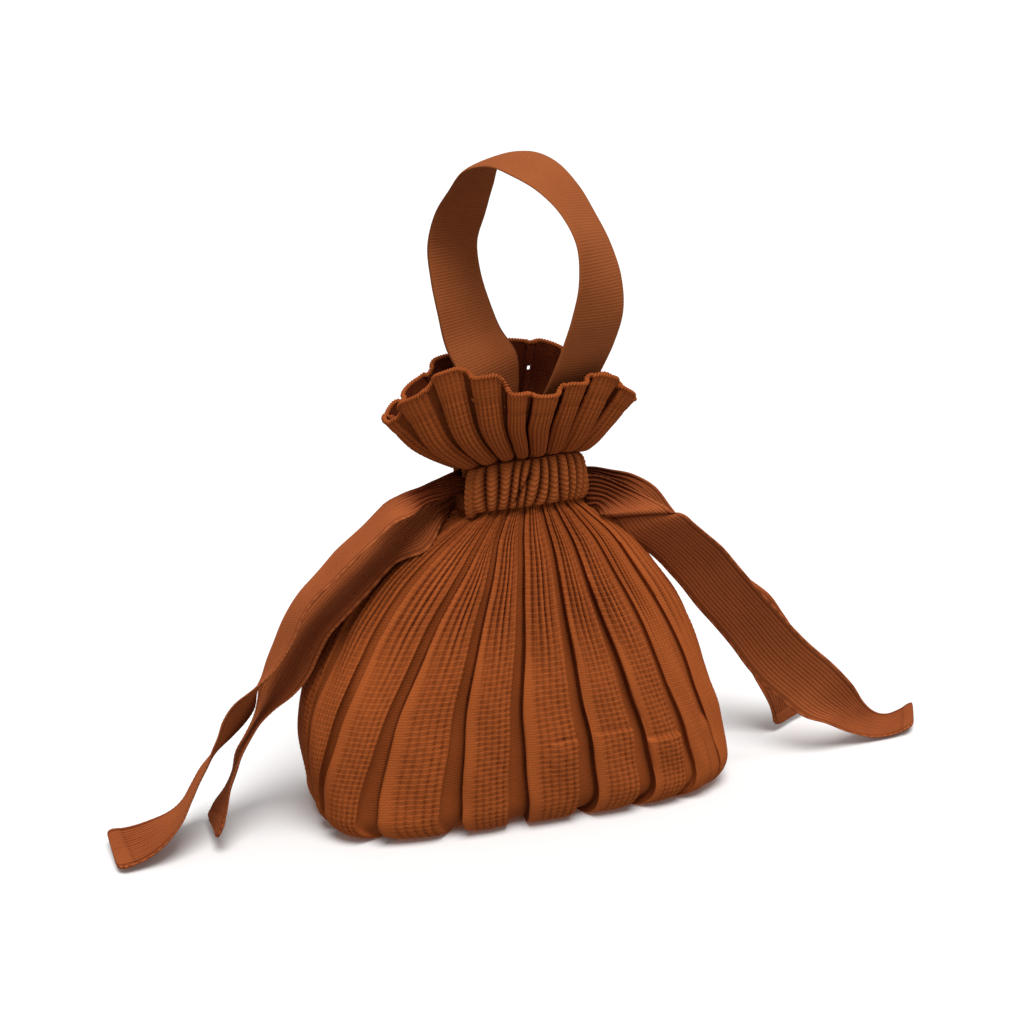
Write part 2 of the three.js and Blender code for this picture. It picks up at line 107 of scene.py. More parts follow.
LEFT_BACK_ROUTE = [
    (-28.7, 8.8, 173.2, 0, 0, 1, 7), (-30.2, 6.6, 173, 0, 0, 1, 7), (-34, 5.8, 171.8, 0, 0.05, 1, 8),
    (-39, 6, 168, -0.1, 0.4, 0.9, 10), (-46, 6, 162, -0.2, 0.8, 0.5, 15),
    (-57, 5, 150.5, -0.08, 0.95, 0.3, 24), (-70, 4, 138, 0, 1, -0.05), (-83, 2, 126, -0.07, 0.99, -0.12),
    (-95, 1, 114.5, -0.1, 0.98, -0.17), (-105, 1, 104, -0.12, 0.97, -0.21),
    (-112, 2, 93, -0.24, 0.93, -0.27), (-118, 3, 81.5, -0.32, 0.91, -0.28),
    (-124, 4, 71.5, -0.25, 0.92, -0.3), (-130, 5, 63, -0.05, 0.93, -0.35), (-135, 5, 56, 0.06, 0.93, -0.36),
    (-140, 5, 48, 0.05, 0.92, -0.38), (-145, 4, 40, 0.04, 0.92, -0.38), (-148, 2, 32, 0.06, 0.89, -0.45),
    (-152, 0, 24, 0.04, 0.9, -0.42), (-156, -3, 17, -0.07, 0.93, -0.35), (-159, -6, 11.5, -0.1, 0.95, -0.3),
    (-161, -8, 7, 0, 0.98, -0.15),
]
RIGHT_FRONT_ROUTE = [
    (29.4, -9.1, 168.2, 0, 0, 1, 8), (31, -6.8, 168, 0, 0, 1, 8), (34, -6.2, 167, 0.1, 0.1, 1, 10),
    (38, -7.5, 165, 0.45, 0.25, 0.85, 13), (44, -10, 161, 0.85, 0.15, 0.5, 18),
    (52, -14, 156, 0.97, 0, 0.2, 26), (60, -18.5, 152, 0.95, -0.25, 0.05, 29),
    (67, -19, 147, 0.78, -0.42, 0.4, 28), (74, -18, 140.5, 0.52, -0.58, 0.6, 30),
    (82, -16, 131.5, 0.46, -0.57, 0.68, 33), (93, -15, 120, 0.47, -0.5, 0.73),
    (103, -14, 107.5, 0.48, -0.44, 0.76), (115, -13, 93.5, 0.48, -0.44, 0.76),
    (126, -12, 80.5, 0.52, -0.4, 0.75), (136, -11, 68, 0.6, -0.3, 0.73), (147, -10, 56, 0.68, -0.22, 0.7),
    (160, -9, 44, 0.76, -0.1, 0.6), (173, -8, 31.5, 0.86, 0.1, 0.42), (186, -5, 20.5, 0.88, 0.42, 0.1),
    (200, 0, 10, 0.8, 0.6, 0), (214, 4, 3.5, 0.68, 0.73, 0), (227, 7, 2.2, 0.55, 0.83, 0),
    (239, 9, 5, 0.49, 0.87, 0),
]
RIGHT_BACK_ROUTE = [
    (29.4, 9.1, 168.2, 0, 0, 1, 8), (31, 6.8, 168, 0, 0, 1, 8), (34.5, 6.5, 167.5, 0.1, 0.05, 1, 9),
    (40, 7.5, 166.5, 0.35, 0.2, 0.9, 10), (48, 10, 162, 0.6, 0.28, 0.74, 15),
    (59, 13, 155.5, 0.68, 0.35, 0.64, 22), (70, 15, 146, 0.73, 0.45, 0.5, 29),
    (80, 17, 134.5, 0.75, 0.6, 0.25), (91, 18, 122.5, 0.79, 0.58, 0.18), (104, 19, 108, 0.84, 0.5, 0.22),
    (117, 20, 94.5, 0.87, 0.42, 0.27), (129, 21, 82.5, 0.85, 0.25, 0.45), (139, 22, 72, 0.77, 0.05, 0.62),
    (147, 23, 61, 0.74, 0.02, 0.67), (155, 24, 49.5, 0.75, 0.1, 0.65), (161, 25, 35.5, 0.84, 0.38, 0.38),
    (167, 27, 20, 0.86, 0.5, 0.1), (172, 29, 4, 0.86, 0.5, 0),
]


def cubic(rows, slope, at):
    """Table rows as a smooth curve of the row number: cubic steps that pass through every row at
    its slope."""
    low = np.clip(at.astype(int), 0, len(rows) - 2)
    t = (at - low)[:, None]
    start = (1 + 2 * t) * (1 - t) ** 2 * rows[low] + t * (1 - t) ** 2 * slope[low]
    end = t**2 * (3 - 2 * t) * rows[low + 1] - t**2 * (1 - t) * slope[low + 1]
    return start + end


def through(rows, at):
    """A smooth curve through table rows, whose slope at a row is half the difference of its two
    neighbours."""
    rows = np.asarray(rows, float)
    return cubic(rows, np.gradient(rows, axis=0), at)


def length_along(line):
    """How far each point of a line lies from its first one, along the line."""
    return np.concatenate([[0], np.cumsum(np.linalg.norm(np.diff(line, axis=0), axis=1))])


def unit(vectors):
    """Vectors of length one, along the last axis."""
    return vectors / np.linalg.norm(vectors, axis=-1, keepdims=True)


def smoothstep(low, high, value):
    """0 at low, 1 at high and a smooth cubic step between them; it falls where low is over high."""
    t = np.clip((value - low) / (high - low), 0, 1)
    return t * t * (3 - 2 * t)


def grid_faces(rows, columns, around):
    """Quads between neighbouring rows and columns; around joins the last column to the first.
    Also the row and the unwrapped column of each corner, for a map that runs past the join."""
    last = columns if around else columns - 1
    row, column = np.meshgrid(np.arange(rows - 1), np.arange(last), indexing="ij")
    corner_rows = np.stack([row, row, row + 1, row + 1], -1)
    corner_columns = np.stack([column, column + 1, column + 1, column], -1)
    faces = corner_rows * columns + corner_columns % columns
    return faces.reshape(-1, 4), corner_rows.reshape(-1, 4), corner_columns.reshape(-1, 4)


def cloth_piece(name, points, faces, corner_map, painted_shade, material):
    """A smooth mesh object from points in millimetres, faces, a map per corner in millimetres
    of knit, and each point's painted shade, how far its colour is darkened for shade."""
    mesh = bpy.data.meshes.new(name)
    mesh.from_pydata((points * MM).tolist(), [], [face for group in faces for face in group.tolist()])
    mesh.polygons.foreach_set("use_smooth", np.ones(len(mesh.polygons), bool))
    layer = mesh.uv_layers.new(name="knit")
    layer.data.foreach_set("uv", np.concatenate([part.reshape(-1, 2) for part in corner_map]).ravel())
    painted_shade_layer = mesh.attributes.new("painted_shade", "FLOAT", "POINT")
    painted_shade_layer.data.foreach_set("value", np.asarray(painted_shade, np.float32).ravel())
    mesh.materials.append(material)
    mesh.validate()
    piece = bpy.data.objects.new(name, mesh)
    bpy.context.collection.objects.link(piece)
    return piece


def linear(hex_colour):
    """An sRGB hex colour as linear red, green, blue and 1."""
    parts = [int(hex_colour[i:i + 2], 16) / 255 for i in (1, 3, 5)]
    return [p / 12.92 if p <= 0.04045 else ((p + 0.055) / 1.055) ** 2.4 for p in parts] + [1.0]


def add_node(owner, kind, links=None, **settings):
    """A node of a material or the world with its settings; links maps an input to a value or to
    another node's output."""
    node = owner.node_tree.nodes.new(kind)
    for setting, value in settings.items():
        setattr(node, setting, value)
    for socket, value in (links or {}).items():
        if isinstance(value, bpy.types.NodeSocket):
            owner.node_tree.links.new(value, node.inputs[socket])
        else:
            node.inputs[socket].default_value = value
    return node


# sizes of the yarn's fuzz and of the blotches that dyeing leaves
FIBRE_SIZE = 0.7
DYE_SIZE = 22.0


def knit(name, face, shade, course, wale, loop_height):
    """Matte cotton-acrylic knit: soft light scatter with a little fuzz on top. Chevrons of yarn
    repeat every course along the cloth and every wale across it, in millimetres. Painted shade: a
    per-point value from the pieces, darker in stitches, folds and hollows, mixes the face colour
    towards the shade colour; the yarn's grain and faint blotches of dye vary the face colour."""
    material = bpy.data.materials.new(name)
    material.use_nodes = True
    shader = material.node_tree.nodes["Principled BSDF"]
    shader.inputs["Roughness"].default_value = 0.9
    shader.inputs["Specular IOR Level"].default_value = 0.06
    shader.inputs["Sheen Weight"].default_value = 0.04
    shader.inputs["Sheen Roughness"].default_value = 0.5
    shader.inputs["Sheen Tint"].default_value = linear(face)
    place = add_node(material, "ShaderNodeTexCoord")
    across_along = add_node(material, "ShaderNodeSeparateXYZ", {0: place.outputs["UV"]})
    wales = add_node(material, "ShaderNodeMath", {0: across_along.outputs["X"], 1: 1 / wale},
                     operation="MULTIPLY")
    slant = add_node(material, "ShaderNodeMath", {0: wales.outputs[0], 1: 0.5}, operation="PINGPONG")
    courses = add_node(material, "ShaderNodeMath",
                       {0: across_along.outputs["Y"], 1: 1 / course, 2: slant.outputs[0]},
                       operation="MULTIPLY_ADD")
    turn = add_node(material, "ShaderNodeMath", {0: courses.outputs[0], 1: 2 * math.pi},
                    operation="MULTIPLY")
    loops = add_node(material, "ShaderNodeMath", {0: turn.outputs[0]}, operation="SINE")
    fibre = add_node(material, "ShaderNodeTexNoise",
                     {"Vector": place.outputs["Object"], "Scale": 1 / (FIBRE_SIZE * MM), "Detail": 3.0,
                      "Roughness": 0.7})
    height = add_node(material, "ShaderNodeMath",
                      {0: loops.outputs[0], 1: 0.5, 2: fibre.outputs["Fac"]}, operation="MULTIPLY_ADD")
    bump = add_node(material, "ShaderNodeBump",
                    {"Height": height.outputs[0], "Distance": loop_height * MM, "Strength": 1.0})
    material.node_tree.links.new(bump.outputs["Normal"], shader.inputs["Normal"])
    dye = add_node(material, "ShaderNodeTexNoise",
                   {"Vector": place.outputs["Object"], "Scale": 1 / (DYE_SIZE * MM), "Detail": 2.0})
    # the painted shade that each piece gives its points
    painted_shade = add_node(material, "ShaderNodeAttribute", attribute_name="painted_shade")
    grain = add_node(material, "ShaderNodeMapRange",
                     {"Value": fibre.outputs["Fac"], "From Min": 0.3, "From Max": 0.7, "To Min": 0.12,
                      "To Max": -0.12})
    blotch = add_node(material, "ShaderNodeMapRange",
                      {"Value": dye.outputs["Fac"], "From Min": 0.3, "From Max": 0.7, "To Min": -0.05,
                       "To Max": 0.07})
    uneven = add_node(material, "ShaderNodeMath", {0: grain.outputs[0], 1: blotch.outputs[0]},
                      operation="ADD")
    # painted shade plus the grain and the dye blotches: how far the colour goes towards the shade colour
    depth = add_node(material, "ShaderNodeMath", {0: uneven.outputs[0], 1: painted_shade.outputs["Fac"]},
                     operation="ADD", use_clamp=True)
    colour = add_node(material, "ShaderNodeMix",
                      {0: depth.outputs[0], 6: linear(face), 7: linear(shade)}, data_type="RGBA")
    material.node_tree.links.new(colour.outputs[2], shader.inputs["Base Color"])
    return material


ribbon_knit = knit("fine_rib_knit", "#b36034", "#4a1605", course=1.3, wale=1.55, loop_height=0.1)


def band(name, middle, across, width, thick, ripple, relief, painted_shade, material, pocket):
    """A flat knit tube: a closed section carried along a line of stations. The section is a long
    oval of the station's width and thickness, pushed off its plane by ripple, and raised by relief,
    both given per station and per place across. At a pocket depth over nought the far end is
    an open hem: the section turns in to a slit and runs back inside by that depth."""
    places = ripple.shape[1]
    share = np.linspace(-1, 1, places)
    along = unit(np.gradient(middle, axis=0))
    across = unit(across)
    face = unit(np.cross(across, along))
    length = length_along(middle)
    oval = np.sqrt(np.clip(1 - np.abs(share) ** 6, 0, 1))

    def ring(rows, wide, half, lift):
        flat = middle[rows, None] + across[rows, None] * (wide[:, None] / 2 * share)[..., None]
        flat = flat + face[rows, None] * ripple[rows][..., None]
        above = flat - face[rows, None] * ((half[:, None] + lift) * oval)[..., None]
        below = flat + face[rows, None] * ((half[:, None] + lift) * oval)[..., None]
        return np.concatenate([above, below[:, -2:0:-1]], axis=1)

    stations = np.arange(len(middle))
    rings = [ring(stations, width, thick / 2, relief)]
    painted_shades = [np.concatenate([painted_shade, painted_shade[:, -2:0:-1]], axis=1)]
    lengths = [length]
    if pocket:
        back = np.searchsorted(length, length[-1] - pocket)
        inside = np.array([len(middle) - 1, len(middle) - 1, back])
        slit = np.array([0.62, 0.5, 0.25]) * thick[-1] / 2
        slim = width[inside] - np.array([0.5, 1.2, 1.6])
        rings.append(ring(inside, slim, slit, np.zeros((3, places))))
        # painted shade inside the hem's pocket, darker the further in
        painted_shades.append(np.ones((3, 2 * places - 2)) * np.array([[0.2], [0.8], [1.0]]))
        lengths.append(length[inside])
    points = np.concatenate(rings)
    rows, columns = points.shape[:2]
    faces, corner_rows, corner_columns = grid_faces(rows, columns, True)
    reach = np.concatenate(lengths)
    run = np.concatenate([share, share[-2:0:-1] + 2, [3.0]]) * RIBBON_WIDTH / 2
    corner_map = np.stack([run[corner_columns], reach[corner_rows]], -1)
    top = np.arange(1, places - 2)
    bottom = columns - top
    start = np.stack([top, bottom, bottom - 1, top + 1], -1)
    end = (rows - 1) * columns + np.stack([top, top + 1, bottom - 1, bottom], -1)
    last = (rows - 1) * columns
    tips = np.array([
        [0, columns - 1, 1], [places - 2, places, places - 1],
        [last, last + 1, last + columns - 1], [last + places - 2, last + places - 1, last + places],
    ])
    caps = np.concatenate([start, end])
    groups = [faces[:, ::-1], caps[:, ::-1], tips[:, ::-1]]
    maps = [corner_map[:, ::-1], np.zeros(caps.shape + (2,)), np.zeros(tips.shape + (2,))]
    return cloth_piece(name, points.reshape(-1, 3), groups, maps, np.concatenate(painted_shades), material)


def ribbon(name, node, route, gather_width, curls, camber, crease):
    """A free ribbon end along its route: gathered folds flatten out as the width grows, ribs run
    along it, stitches bead its edges, and camber bends the section across. Where it is gathered
    tighter than gather_width, it spreads below its route. Curls bend the near and the far edge
    off the ribbon's plane on its upper part, and a crease, given by its distance from the casing,
    steps it across. The hem's corners are round, with stations close together there."""
    places = 4 * RIBBON_RIBS + 9
    table = [row if len(row) == 7 else row + (RIBBON_WIDTH,) for row in route]
    at_hem = len(table) - 1 - np.linspace(0.4, 0, HEM_STATIONS)
    before_hem = np.linspace(0, at_hem[0], RIBBON_STATIONS, endpoint=False)
    rows = through(table, np.concatenate([before_hem, at_hem]))
    middle, across, width = rows[:, :3], rows[:, 3:6], np.clip(rows[:, 6], 6, RIBBON_WIDTH)
    length = length_along(middle)
    share = np.linspace(-1, 1, places)
    spreading = gather_width + (RIBBON_WIDTH - 1 - gather_width) * smoothstep(*SPREADING, length)
    spread = np.maximum(width, spreading * smoothstep(0, 6, length) * (gather_width > 0))
    middle = middle - unit(across) * ((spread - width) / 2)[:, None]
    width = spread
    gathered = GATHER_HEIGHT * smoothstep(31, 15, width)[:, None]
    wave = np.cos(GATHER_FOLDS * math.pi * (share + 0.12 * share**2))
    bend = camber * (width / RIBBON_WIDTH)[:, None] * (share**2 - 0.4)
    curl = curls[0] * np.clip(-share, 0, 1) ** 2 + curls[1] * np.clip(share, 0, 1) ** 2
    bend = bend + curl * (smoothstep(*CURL_RISE, length) * smoothstep(*CURL_FALL, length))[:, None]
    from_crease = ((length - crease) / CREASE_REACH)[:, None]
    step = np.exp(-(from_crease - 1) ** 2) - np.exp(-(from_crease + 1) ** 2)
    bend = bend + CREASE_STEP * step * (crease > 0)
    edge = smoothstep(EDGE_SHARE, EDGE_SHARE + 0.05, np.abs(share))
    stitch = np.cos(2 * math.pi * length / EDGE_STITCH)[:, None]
    beads = edge * (0.3 + 0.22 * stitch)
    rib = np.abs(np.cos(RIBBON_RIBS * math.pi * (share + 1) / 2)) * (1 - edge)
    to_end = length[-1] - length
    corner = np.clip(1 - to_end / HEM_CORNER, 0, 1)
    width = width - 2 * HEM_CORNER * (1 - np.sqrt(1 - corner**2))
    hem = smoothstep(HEM_LENGTH, HEM_LENGTH - 2, to_end)[:, None]
    seam = np.exp(-((to_end - HEM_LENGTH) / 0.7) ** 2)[:, None]
    relief = RIB_DEPTH * rib * (1 - 0.7 * hem) + beads - 0.1 * seam + 0.001
    thick = RIBBON_THICK + (HEM_THICK - RIBBON_THICK) * hem[:, 0] - 2 * RIB_DEPTH
    folded = gathered / GATHER_HEIGHT * (0.5 + 0.5 * wave)
    # Painted shade between the ribs, in the gathered folds, between the edge stitches, in a line just
    # inside each edge, at the crease and a little towards the end; painted highlight on the edge beads and
    # along the edges. The hem seam is a little darker.
    painted_shade = 0.12 + 0.65 * (1 - rib) ** 2 * (1 - edge) * (1 - 0.6 * hem) + 0.08 * seam - 0.2 * beads
    painted_shade = painted_shade + 0.5 * folded + 0.28 * gathered / GATHER_HEIGHT + 0.2 * smoothstep(50, 12, to_end)[:, None]
    painted_shade = painted_shade + 0.5 * edge * (0.5 - 0.5 * stitch) - 0.15 * edge
    painted_shade = painted_shade + 0.5 * np.exp(-((np.abs(share) - EDGE_SHARE + 0.03) / 0.03) ** 2)
    painted_shade = painted_shade + 0.6 * np.exp(-((from_crease - 0.3) / 0.5) ** 2) * (crease > 0)
    piece = band(name, middle, across, width, thick, gathered * wave + bend, relief, painted_shade, ribbon_knit,
                 HEM_POCKET)
    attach(piece, "root")
    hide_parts(node)


ribbon("left_front_ribbon", "left_front_end", LEFT_FRONT_ROUTE, 0, (-0.9, -3.5), 0.8, 0)
ribbon("left_back_ribbon", "left_back_end", LEFT_BACK_ROUTE, 20, (-3.0, 4.5), 0.8, 0)
ribbon("right_front_ribbon", "right_front_end", RIGHT_FRONT_ROUTE, 17, (0.0, 0.0), -0.9, 38.5)
ribbon("right_back_ribbon", "right_back_end", RIGHT_BACK_ROUTE, 0, (0.0, 0.0), -0.6, 0)

# Pleated wall
# One piece of knit from the base to the neck: raised waffle panels turned out from channels of
# plain jersey, eighteen round the bag, drawn together where the casings gather the neck.
PLEATS = 18
PLEAT_PHASE = -0.3
WALL = 2.0
COURSE = 2.8
WALE = 3.0
PANEL_WALES = 7
CHANNEL_SPAN = 11.0
CHANNEL_STEP = 0.9
FLAP_VALLEYS = [4, 5]
FLAP_TOP = 48.0

# valley to the left of a creased panel, share of its width from which the crease runs to its right
# edge, the crease's height, and how far the cloth below it stands out
CREASES = [(0, 0.5, 49.0, 1.2), (1, 0.10, 50.0, 1.0), (2, 0.0, 42.0, 2.2)]

# z, wide, deep, square, x, fold, edge, crown, lift, tilt, droop, lean of each level, as the
# frame's sections, with the ruffle's foot drawn in up to 9 mm more; edge and crown give the
# channel's half width in pleats and the share of the fold by which a panel's sides drop
SECTIONS = np.array([
    (0, 72, 20, 3.2, 0, 0, 0.17, 0.10, 0, 0, 0, 0),
    (0, 93, 34, 4.0, 0, 3, 0.17, 0.10, 2, 0, 0, 0),
    (4, 104, 43, 4.0, 0, 5, 0.17, 0.10, 3, 0, 0, 0),
    (16, 111, 48, 3.5, 0, 6, 0.16, 0.08, 0, 0, 0, 0),
    (40, 111, 49, 3.0, -4, 6, 0.14, 0.08, 0, 0, 0, 0),
    (70, 105, 48, 2.8, -7, 6, 0.12, 0.08, 0, 0, 0, 0),
    (100, 91, 44, 2.6, -5, 6.5, 0.12, 0.14, 0, 0, 0, 0),
    (125, 74, 39, 2.4, -4, 6.5, 0.12, 0.26, 0, 0, 0, 0),
    (145, 56, 32, 2.2, -2, 6, 0.13, 0.40, 0, 1, 2, 0),
    (157, 40, 26, 2.0, -1, 5, 0.14, 0.50, 0, 1.5, 4, 0),
    (164, 31, 21, 2.0, 0, 3.5, 0.14, 0.50, 0, 1.5, 5.5, 0),
    (188, 29, 20, 2.0, 0, 3.5, 0.14, 0.50, 0, 2, 6.5, 0),
    (190.5, 33, 25, 2.0, 0, 5, 0.12, 0.55, 0, 2, 8, 0),
    (197, 39, 31, 2.0, -2, 7, 0.10, 0.55, 0, 1.5, 11, 0),
    (210, 51, 39, 2.1, -5, 7, 0.10, 0.50, 0, 1, 16, -1),
    (222, 60, 44, 2.1, -5, 6, 0.10, 0.45, 0, 0.5, 21, -2),
    (228, 63, 46, 2.1, -5, 5, 0.10, 0.40, 0, 0, 24, -2),
], float)
BASE_EDGE = 1
NECK_BOTTOM = 10
NECK_TOP = 11
RIM = 16
RIM_EDGE = 0.10
RIM_STEP = 0.27

# valley, its sideways shift at each of the shift levels, the rim's rise on the panel to its
# right, as in the frame, how strongly that panel's rows show, and how deep the fold is sewn
SHIFT_LEVELS = [20, 50, 80, 110, 135, 155, 200]
RUFFLE_LEVEL = 197
PLEAT_TABLE = np.array([
    (-9, 0, 0, 0, 0, 0, 0, 0, -1, 1, 1),
    (-8, 0, 0, 0, 0, 0, 0, 0, -4, 1, 1),
    (-7, 0, 0, 0, 0, 0, 0, 0, -9, 1, 1),
    (-6, 0, 0, 0, 0, 0, 0, 0.1, -7, 0.8, 1),
    (-5, 0, 0.15, 0.2, 0.1, 0.05, 0.1, 0.2, 2, 0.8, 1),
    (-4, 0.05, 0.32, 0.38, 0.12, 0.06, 0.15, 0.4, 11, 0.6, 1),
    (-3, -0.6, -0.17, 0, -0.02, 0.1, 0.25, 0.55, 17, 0.8, 1),
    (-2, -0.7, -0.32, -0.07, 0.08, 0.37, 0.45, 0.5, 10, 0.9, 1),
    (-1, -0.3, -0.04, 0.03, 0.06, 0.15, -0.1, 0.45, 0, 1, 1),
    (0, -0.19, -0.06, -0.02, -0.03, -0.06, -0.2, 0.1, -2, 1, 1),
    (1, 0.02, 0.12, 0.02, -0.08, -0.08, -0.16, -0.04, 3, 0.9, 1),
    (2, 0.07, 0.08, -0.07, -0.33, -0.38, -0.42, -0.24, 8, 1, 0.9),
    (3, -0.08, -0.11, -0.32, -0.43, -0.55, -0.58, -0.1, 5, 0.25, 0.6),
    (4, -0.6, -0.67, -0.73, -0.85, -0.88, -0.8, 0, 4.5, 0.2, 0.5),
    (5, -0.4, -0.45, -0.5, -0.55, -0.55, -0.5, 0, 6, 0.4, 0.6),
    (6, -0.2, -0.2, -0.2, -0.2, -0.2, -0.2, 0, 4, 0.8, 0.8),
    (7, 0, 0, 0, 0, 0, 0, 0, 3, 1, 1),
    (8, 0, 0, 0, 0, 0, 0, 0, 1, 1, 1),
])

# place, in channel half widths from the valley, and depth, as a share of the fold, of the columns
# down the right edge of one panel, along the channel and up under the left edge of the next
CHANNEL_COLUMNS = np.array([
    (-0.98, 0.10), (-0.94, 0.32), (-0.86, 0.56), (-0.60, 0.72), (-0.20, 0.83), (0.20, 0.91), (0.60, 0.97),
    (0.95, 1.00), (1.12, 0.97), (1.08, 0.66), (0.99, 0.34), (0.93, 0.10),
])
PANEL_COLUMNS = 3 * PANEL_WALES
BASE_ROWS = 6
NECK_ROWS = 8
INNER_ROWS = 16
INNER_INSET = 8.0
INNER_SPAN = 12.0
COLUMNS = len(CHANNEL_COLUMNS) + PANEL_COLUMNS


def levels(at):
    """The section table at fractional rows: cubic steps whose slope at a row is the harmonic mean
    of the slopes on both sides, so that nothing overshoots."""
    step = np.diff(SECTIONS, axis=0)
    slope = np.zeros_like(SECTIONS)
    both = step[:-1] * step[1:] > 0
    slope[1:-1][both] = (2 * step[:-1] * step[1:])[both] / (step[:-1] + step[1:])[both]
    slope[0], slope[-1] = step[0], step[-1]
    return cubic(SECTIONS, slope, at).T


def valleys(z):
    """Where each valley lies round the bag at each height, in pleats: its number plus its shift
    between the levels, eased by a mean over nearby heights. One more at both ends."""
    near = z[:, None] + np.linspace(-9, 9, 9)
    shift = [np.interp(near, SHIFT_LEVELS, row).mean(axis=1) for row in PLEAT_TABLE[:, 1:8]]
    place = PLEAT_TABLE[:, 0] + np.stack(shift, -1)
    return np.concatenate([place[:, -1:] - PLEATS, place, place[:, :1] + PLEATS], axis=1)


def outline(wide, deep, square, share):
    """Points of a superellipse for each row, at shares of its length from the front centre
    towards the right."""
    angle = np.linspace(0, 2 * math.pi, 1441)
    s, c = np.sin(angle), -np.cos(angle)
    x = wide[:, None] * np.sign(s) * np.abs(s) ** (2 / square[:, None])
    y = deep[:, None] * np.sign(c) * np.abs(c) ** (2 / square[:, None])
    length = np.cumsum(np.hypot(np.diff(x, prepend=x[:, :1]), np.diff(y, prepend=y[:, :1])), axis=1)
    length /= length[:, -1:]
    turn = share - np.floor(share)
    flat_x = np.array([np.interp(*row) for row in zip(turn, length, x)])
    flat_y = np.array([np.interp(*row) for row in zip(turn, length, y)])
    return flat_x, flat_y


def pleated(at, inward, folded):
    """Points of the pleated cloth, a row for each level and a column for each corner of the
    folds: the outline moved in by the fold's depth along its normal, with the heights of tilt,
    droop, lean, lift and rim. inward moves the whole sheet in; folded scales the folds' depth."""
    z, wide, deep, square, x, fold, edge, crown, lift, tilt, droop, lean = levels(at)
    valley = valleys(z)
    before, here, after = valley[:, :-2], valley[:, 1:-1], valley[:, 2:]
    place, depth = CHANNEL_COLUMNS.T
    gap = np.where(place < 0, (here - before)[..., None], (after - here)[..., None])
    channel = here[..., None] + place * edge[:, None, None] * gap
    across = np.linspace(0, 1, PANEL_COLUMNS)
    half = edge[:, None, None]
    first = 0.92 * half
    panel = here[..., None] + (first + (1 - first - half) * across) * (after - here)[..., None]
    share = np.concatenate([channel, panel], axis=2).reshape(len(at), -1)
    side_drop = crown[:, None] * np.abs(2 * across - 1) ** 2.4 + 0.06 * np.abs(2 * across - 1) ** 10
    below_neck = smoothstep(NECK_BOTTOM, NECK_BOTTOM - 2, at)[:, None, None]
    sewn = 1 - (1 - PLEAT_TABLE[:, 10][:, None]) * below_neck
    flap_height = smoothstep(FLAP_TOP, FLAP_TOP - 10, z)[:, None, None]
    sewn = sewn * (1 - 0.9 * flap_height * np.isin(PLEAT_TABLE[:, 0], FLAP_VALLEYS)[:, None])
    fall = crown[:, None, None] + (1 - crown[:, None, None]) * depth * sewn
    drop = np.broadcast_to(side_drop[:, None], fall.shape[:2] + (PANEL_COLUMNS,))
    cut = np.concatenate([fall, drop], axis=2).reshape(len(at), -1) * folded
    this_rise = PLEAT_TABLE[:, 8][:, None]
    last_rise, next_rise = np.roll(this_rise, 1, axis=0), np.roll(this_rise, -1, axis=0)
    on_pleat = np.concatenate([place * RIM_EDGE, RIM_EDGE + (1 - 2 * RIM_EDGE) * across])
    rise = last_rise + (this_rise - last_rise) * smoothstep(-RIM_STEP, RIM_STEP, on_pleat)
    rise = (rise + (next_rise - this_rise) * smoothstep(-RIM_STEP, RIM_STEP, on_pleat - 1)).ravel()
    flat_x, flat_y = outline(wide - inward, deep - inward, square, (PLEAT_PHASE + share) / PLEATS)
    out = unit(np.stack([flat_x / wide[:, None] ** 2, flat_y / deep[:, None] ** 2], -1))
    moved = -fold[:, None] * cut
    side = flat_x / wide[:, None]
    height = z[:, None] + tilt[:, None] * side - droop[:, None] * np.abs(side) ** 3
    height = height - lean[:, None] * flat_y / deep[:, None] + lift[:, None] * cut
    height = height + rise * smoothstep(RUFFLE_LEVEL, SECTIONS[RIM, 0], z)[:, None]
    return np.stack([x[:, None] + flat_x + out[..., 0] * moved, flat_y + out[..., 1] * moved, height], -1)


def outward(points):
    """The normals of a closed band of points: along its rows crossed with up its columns."""
    along = np.roll(points, -1, axis=1) - np.roll(points, 1, axis=1)
    up = np.gradient(points, axis=0)
    return unit(np.cross(along, up))


def front_length(at):
    """How far levels lie from the first one, along the cloth at the front centre."""
    z, _, deep = levels(at)[:3]
    return np.concatenate([[0], np.cumsum(np.hypot(np.diff(deep), np.diff(z)))])


fine = np.linspace(BASE_EDGE, NECK_BOTTOM, 3000)
wall_length = front_length(fine)
courses = int(wall_length[-1] / COURSE)
visible = np.interp(np.arange(3 * courses + 1) / (3 * courses) * wall_length[-1], wall_length, fine)
base_at = np.linspace(0, BASE_EDGE, BASE_ROWS + 1)[:-1]
neck_at = np.linspace(NECK_BOTTOM, NECK_TOP, NECK_ROWS + 1)[1:]
wall_at = np.concatenate([base_at, visible, neck_at])
wall = pleated(wall_at, 0, 1)
wall_z = levels(wall_at)[0][:, None]

# Waffle relief: rows of loops across a panel and grooves between its wales. A plain strip runs
# down the panel's left side below the shoulder, then a line of open stitches; two more lines close
# its right side. The grooves deepen where the neck draws the panels in and where they turn under.
panel_column = np.tile(np.arange(COLUMNS) - len(CHANNEL_COLUMNS), PLEATS)
panel = panel_column >= 0
pleat = np.repeat(PLEAT_TABLE[:, 0], COLUMNS)
waffle = np.repeat(PLEAT_TABLE[:, 9], COLUMNS) * panel
waffle = waffle * np.where(panel_column > 4, 1, smoothstep(80, 120, wall_z))
groove = (panel_column % 3 == 0) & (panel_column > 0)
drawn_groove = np.isin(panel_column, [4, 8, 12, 16]) + 0.35 * np.isin(panel_column, [5, 9, 13, 17])
stitch_line = np.isin(panel_column, [4, 15, 18])
wall_row = np.arange(len(wall_at))[:, None] - BASE_ROWS
course = wall_row // 3
row_cut = np.array([0.0, 1.0, 0.7])[wall_row % 3]
